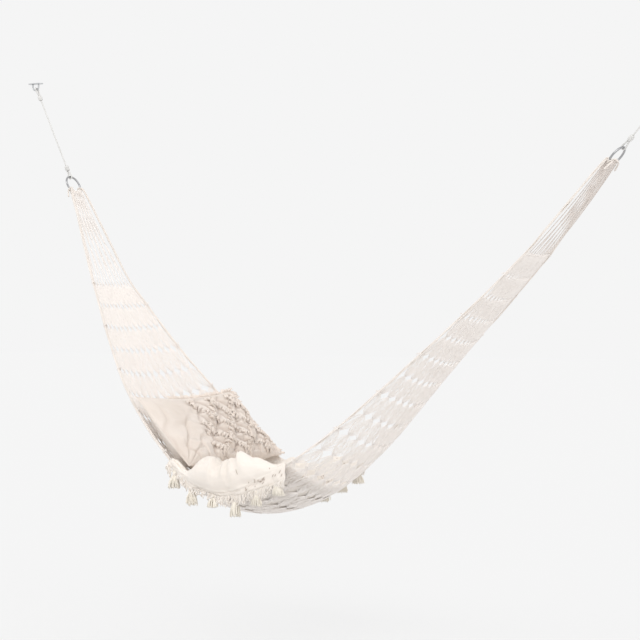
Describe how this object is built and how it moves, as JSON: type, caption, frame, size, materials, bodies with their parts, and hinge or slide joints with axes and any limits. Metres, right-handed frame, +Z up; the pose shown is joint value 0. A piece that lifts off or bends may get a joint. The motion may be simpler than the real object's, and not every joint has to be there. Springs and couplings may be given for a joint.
{
  "type": "hammock",
  "caption": "String hammock: a knotted diamond net between edge cords, gathered to steel rings and hung by ropes, with a pillow and a tasselled quilt.",
  "frame": {"origin": "middle of the head eye plate's upper face, where the head end hangs from a beam", "axes": "+X from the head to the foot along the hammock, +Y across it to the far side, +Z up"},
  "size_m": [2.5511, 0.641, 1.5437],
  "materials": {
    "net_cotton": "matt twisted cotton cord",
    "edge_cotton": "matt thick cotton cord",
    "hanging_rope": "matt braided rope",
    "ring_steel": "polished steel",
    "plate_steel": "zinc-plated steel",
    "pillow_cloth": "soft ruffled cotton",
    "quilt_cloth": "soft puffed cotton",
    "tassel_yarn": "loose cotton yarn"
  },
  "bodies": {
    "beam_plates": {"head_eye_plate": "plate_steel", "foot_eye_plate": "plate_steel"},
    "hammock": {"head_rope_loop": "hanging_rope", "head_rope_knot": "hanging_rope", "head_hang_rope": "hanging_rope", "head_ring_knot": "hanging_rope", "head_ring_loop": "hanging_rope", "foot_rope_loop": "hanging_rope", "foot_rope_knot": "hanging_rope", "foot_hang_rope": "hanging_rope", "foot_ring_knot": "hanging_rope", "foot_ring_loop": "hanging_rope", "head_ring": "ring_steel", "foot_ring": "ring_steel", "head_ring_whipping": "edge_cotton", "foot_ring_whipping": "edge_cotton", "head_clew_cord_1": "net_cotton", "head_clew_cord_2": "net_cotton", "head_clew_cord_3": "net_cotton", "head_clew_cord_4": "net_cotton", "head_clew_cord_5": "net_cotton", "head_clew_cord_6": "net_cotton", "foot_clew_cord_1": "net_cotton", "foot_clew_cord_2": "net_cotton", "foot_clew_cord_3": "net_cotton", "foot_clew_cord_4": "net_cotton", "foot_clew_cord_5": "net_cotton", "foot_clew_cord_6": "net_cotton", "net_bed": "net_cotton", "near_edge_cord": "edge_cotton", "far_edge_cord": "edge_cotton"},
    "quilt": {"quilt": "quilt_cloth", "quilt_near_tassel_1": "tassel_yarn", "quilt_near_tassel_2": "tassel_yarn", "quilt_near_tassel_3": "tassel_yarn", "quilt_near_tassel_4": "tassel_yarn", "quilt_near_tassel_5": "tassel_yarn", "quilt_near_tassel_6": "tassel_yarn", "quilt_far_tassel_1": "tassel_yarn", "quilt_far_tassel_2": "tassel_yarn", "quilt_far_tassel_3": "tassel_yarn", "quilt_far_tassel_4": "tassel_yarn", "quilt_far_tassel_5": "tassel_yarn", "quilt_far_tassel_6": "tassel_yarn"},
    "pillow": {"pillow": "pillow_cloth"}
  },
  "joints": [
    {"name": "hammock_swing", "type": "hinge", "parent": "beam_plates", "child": "hammock", "pos_m": [0.00612, 0, -0.02459], "axis": [0.9975, 0, -0.0711], "range_deg": [-25, 25]},
    {"name": "quilt_lift", "type": "slide", "parent": "hammock", "child": "quilt", "axis": [0, 0, 1], "range_m": [0, 0.3]},
    {"name": "pillow_lift", "type": "slide", "parent": "quilt", "child": "pillow", "axis": [0.706, 0, 0.7083], "range_m": [0, 0.3]}
  ]
}
